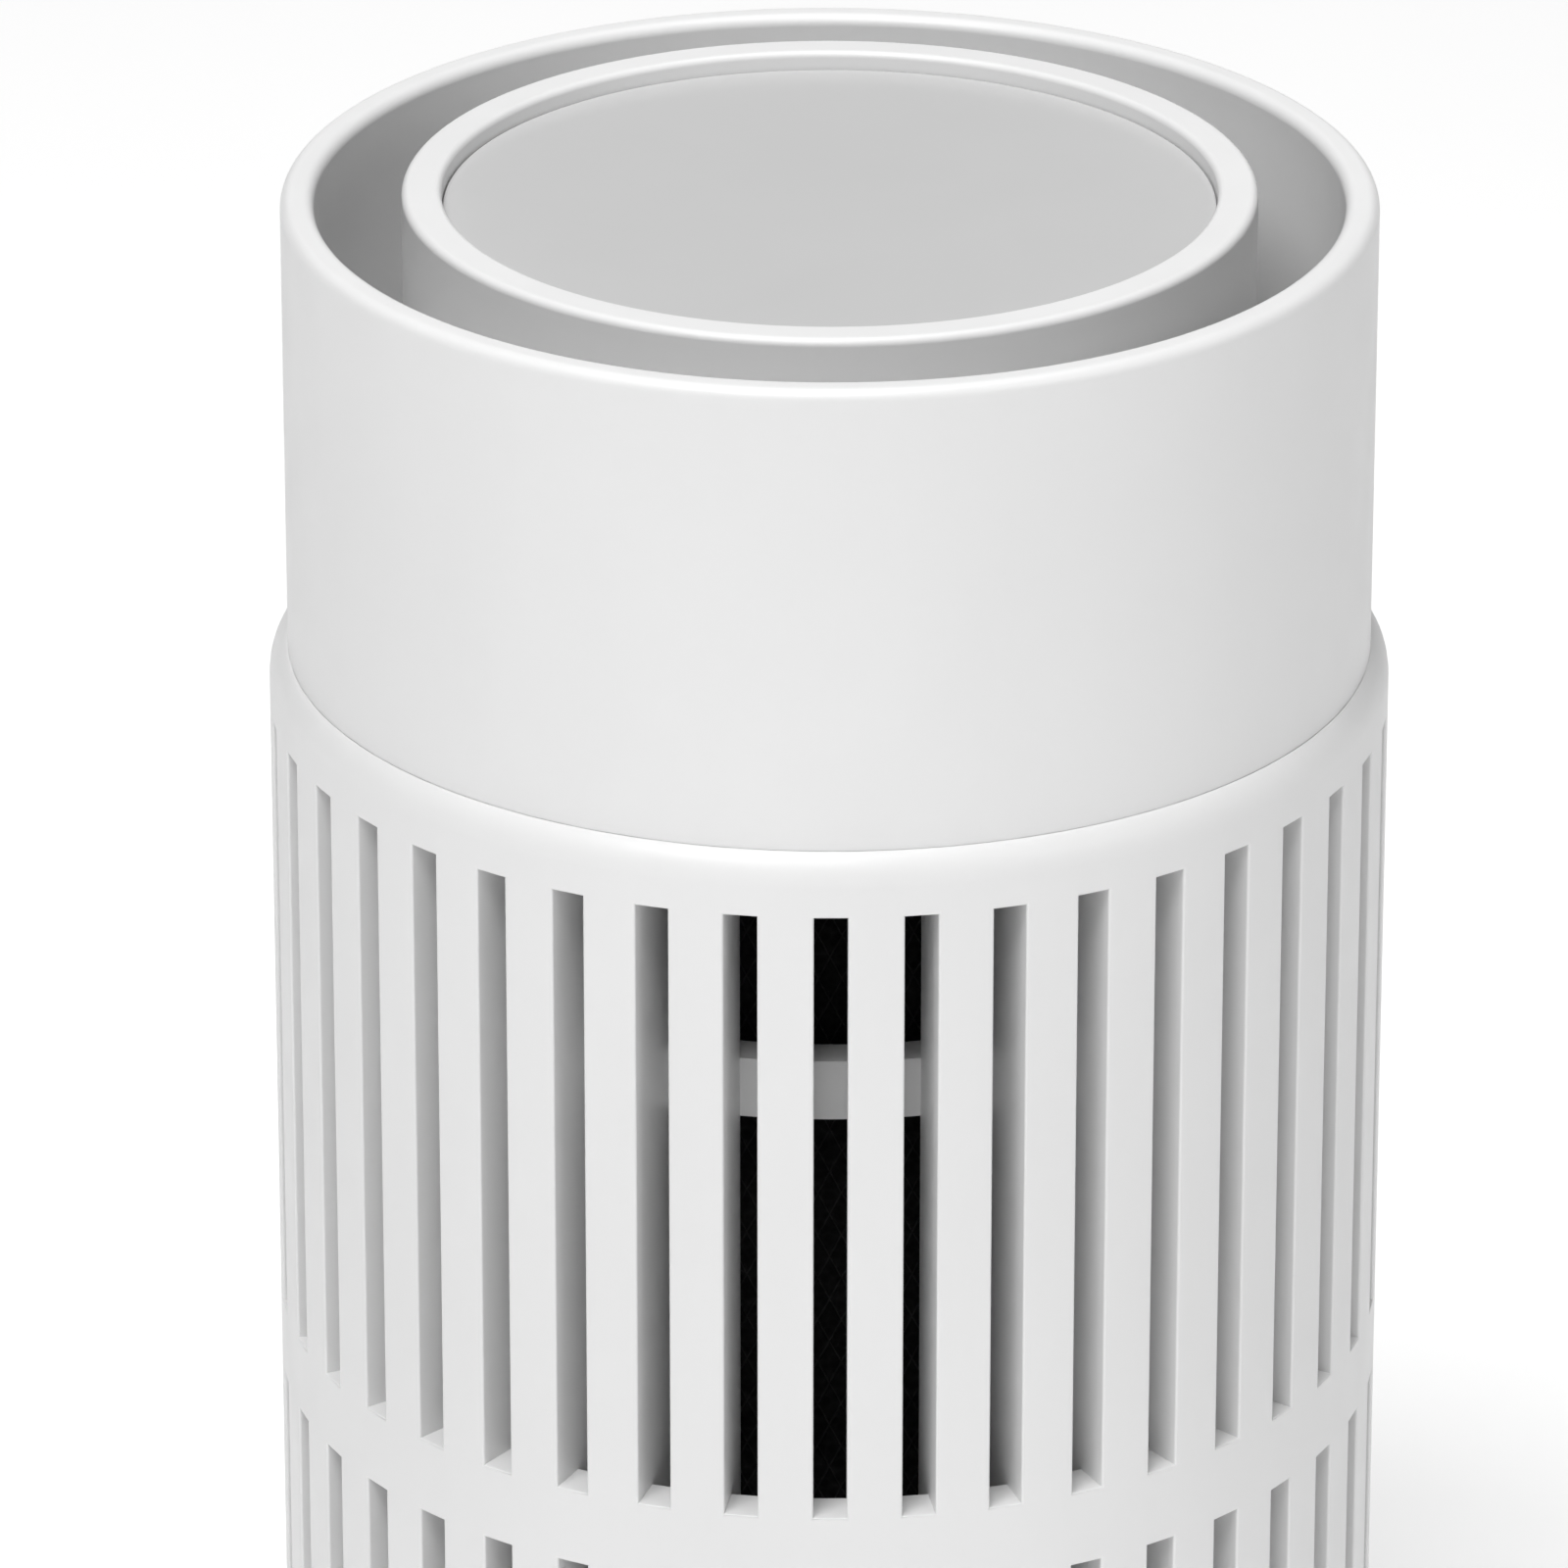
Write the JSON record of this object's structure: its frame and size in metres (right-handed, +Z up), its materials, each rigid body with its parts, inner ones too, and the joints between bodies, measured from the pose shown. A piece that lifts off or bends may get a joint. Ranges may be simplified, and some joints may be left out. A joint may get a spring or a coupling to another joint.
{
  "type": "air purifier",
  "caption": "Cylindrical desktop air purifier: slotted sleeve over a lift-off base and filter, smooth collar, ring-shaped top outlet round a flat control panel, centrifugal fan.",
  "frame": {"origin": "centre of the base, on the floor under the rubber feet", "axes": "+Z up along the tower's axis, -Y towards the front, +Y towards the inlet jack at the back"},
  "size_m": [0.15, 0.15, 0.2858],
  "materials": {
    "white_shell": "fine-textured white moulding",
    "white_inner": "satin off-white moulding",
    "grey_panel": "smooth satin grey touch panel",
    "dark_cap": "matt black moulding",
    "carbon": "open-cell black carbon foam",
    "paper": "pleated glass-fibre paper",
    "foam": "closed-cell foam",
    "rubber": "matt soft rubber",
    "steel": "zinc-plated steel",
    "magnet": "nickel-plated magnet",
    "ferrite": "bonded ferrite",
    "lamination": "stacked steel sheets",
    "copper": "enamelled copper wire",
    "aluminium": "die-cast aluminium",
    "circuit_board": "green solder resist",
    "component": "moulded black package",
    "cable": "matt cable sheath",
    "ribbon": "flat ribbon sheath",
    "led": "clear moulded light"
  },
  "bodies": {
    "base": {"base_tray": "white_shell", "base_plate": "white_inner", "base_screws": "steel", "rubber_feet": "rubber", "base_magnets": "magnet", "filter_bottom_cap": "dark_cap", "filter_core": "white_inner", "hepa_pleats": "paper", "carbon_sleeve": "carbon", "filter_top_cap": "dark_cap", "filter_gasket": "foam"},
    "tower": {"grille_sleeve": "white_shell", "tower_magnets": "magnet", "dc_jack": "component", "jack_nut": "steel", "dc_lead": "cable", "upper_collar": "white_shell", "inlet_deck": "white_inner", "inlet_guard": "steel", "deck_screws": "steel", "diffuser": "white_inner", "diffuser_screws": "steel", "motor_bracket": "aluminium", "motor_screws": "steel", "motor_bearings": "steel", "motor_stator": "lamination", "motor_coils": "copper", "motor_lead": "cable", "main_board": "circuit_board", "board_parts": "component", "board_screws": "steel", "pod_shell": "white_shell", "pod_screws": "steel", "control_ring": "white_shell", "control_panel": "grey_panel", "touch_board": "circuit_board", "touch_pads": "foam", "touch_screws": "steel", "indicator_leds": "led", "ribbon_cable": "ribbon"},
    "impeller": {"impeller": "white_inner", "rotor_can": "steel", "rotor_magnet": "ferrite", "motor_shaft": "steel"}
  },
  "joints": [
    {"name": "tower_lift", "type": "slide", "parent": "base", "child": "tower", "axis": [0, 0, 1], "range_m": [0, 0.2]},
    {"name": "impeller_spin", "type": "hinge", "parent": "tower", "child": "impeller", "pos_m": [0, 0, 0.23], "axis": [0, 0, 1], "continuous": true}
  ]
}
